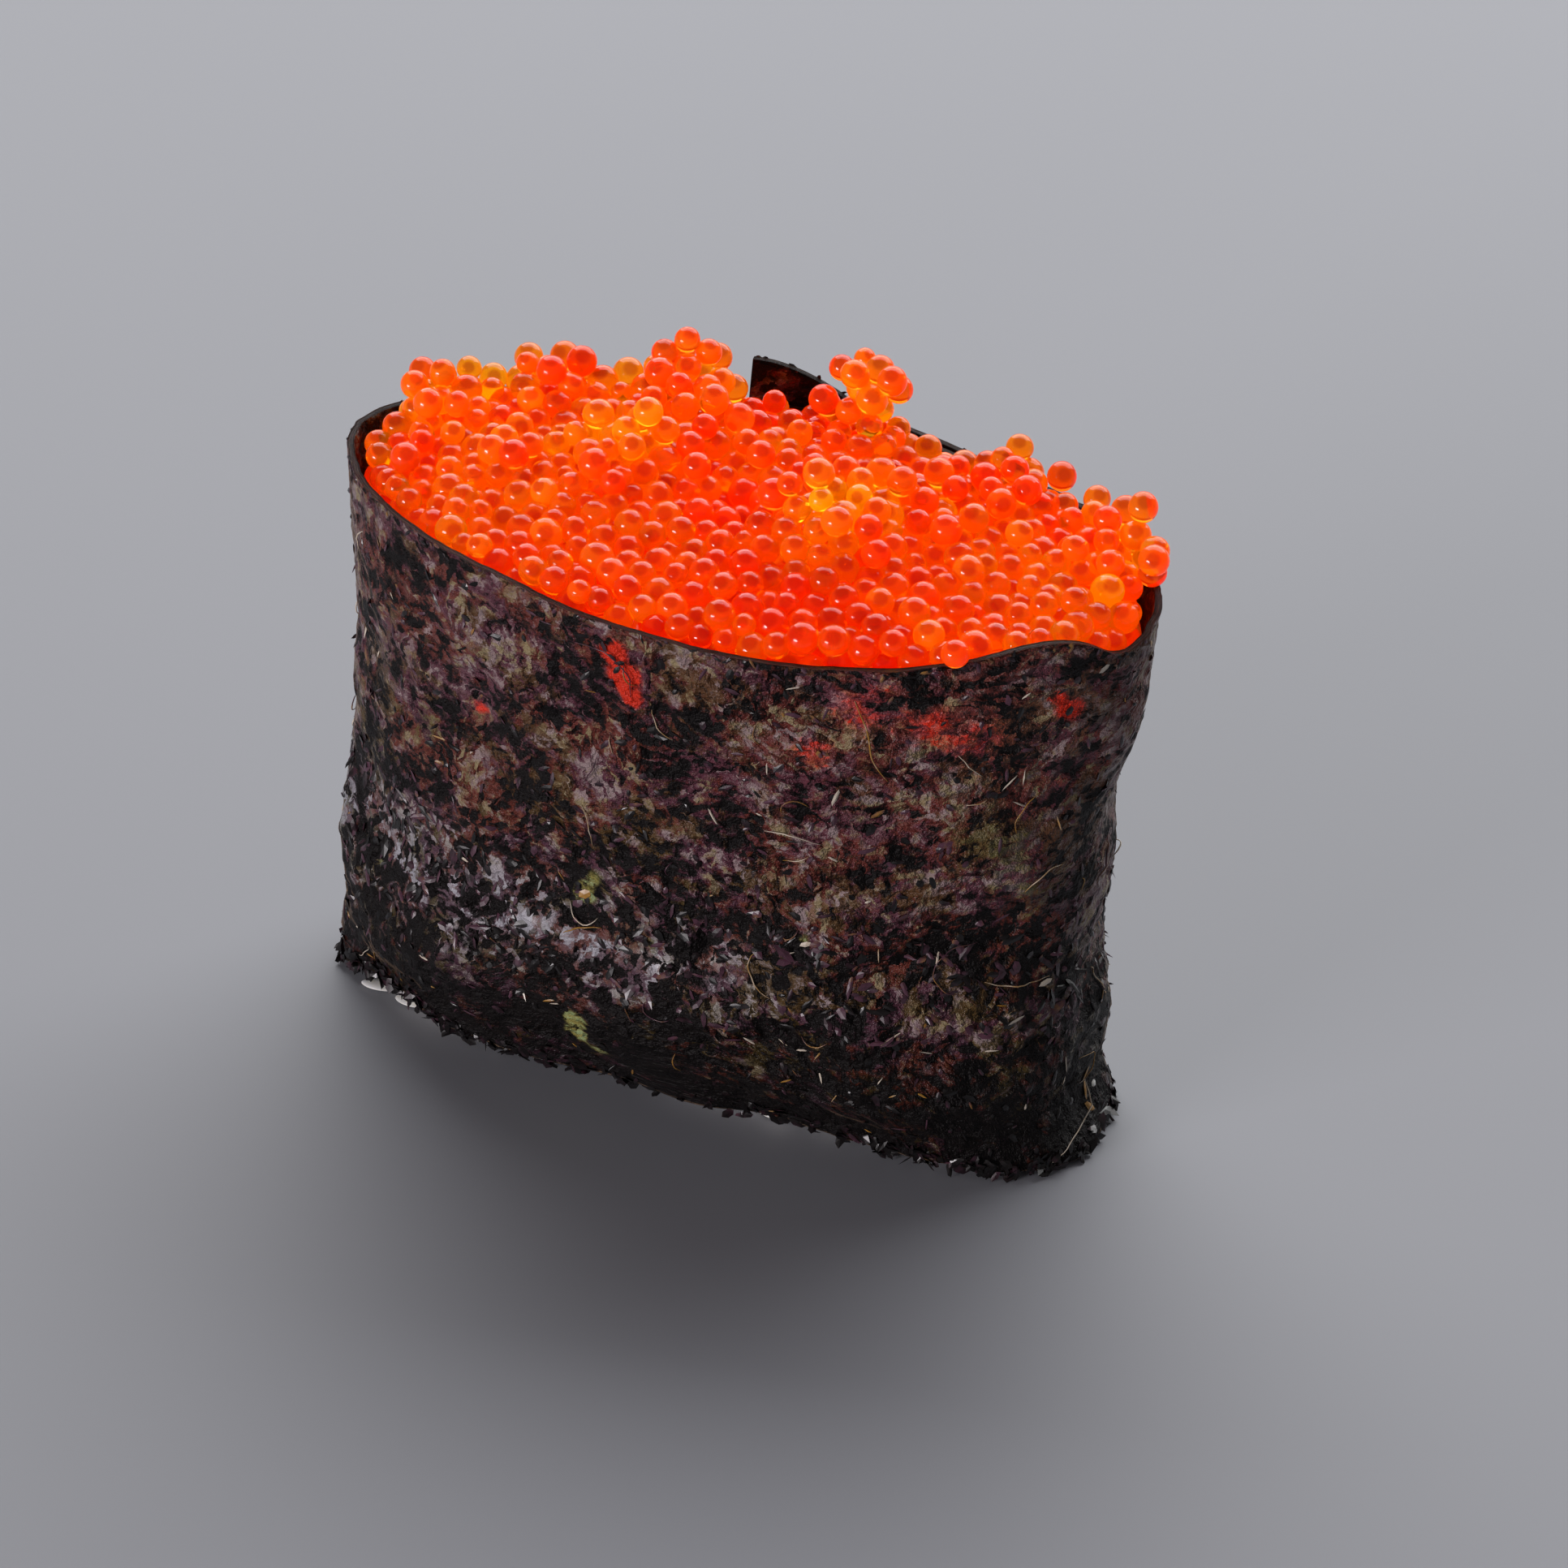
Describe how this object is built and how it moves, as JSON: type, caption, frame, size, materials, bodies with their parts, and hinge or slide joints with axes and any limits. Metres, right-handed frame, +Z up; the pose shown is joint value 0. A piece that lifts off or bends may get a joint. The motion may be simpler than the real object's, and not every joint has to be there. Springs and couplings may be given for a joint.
{
  "type": "gunkan sushi",
  "caption": "Oval bite of pressed rice wrapped upright in a strip of dark seaweed and heaped to the rim with small round orange fish roe.",
  "frame": {"origin": "on the board, under the middle of the whole piece's box", "axes": "+X along the oval's longer axis, +Z up, -Y towards the plain long side without the strip's outer end"},
  "size_m": [0.052, 0.0304, 0.0424],
  "materials": {
    "seaweed": "near-black toasted seaweed with purple and olive mottling and a damp sheen",
    "roe": "wet, translucent orange eggs",
    "rice": "soft white cooked grains"
  },
  "bodies": {
    "root": {"seaweed": "seaweed", "roe": "roe", "rice": "rice"}
  },
  "joints": []
}
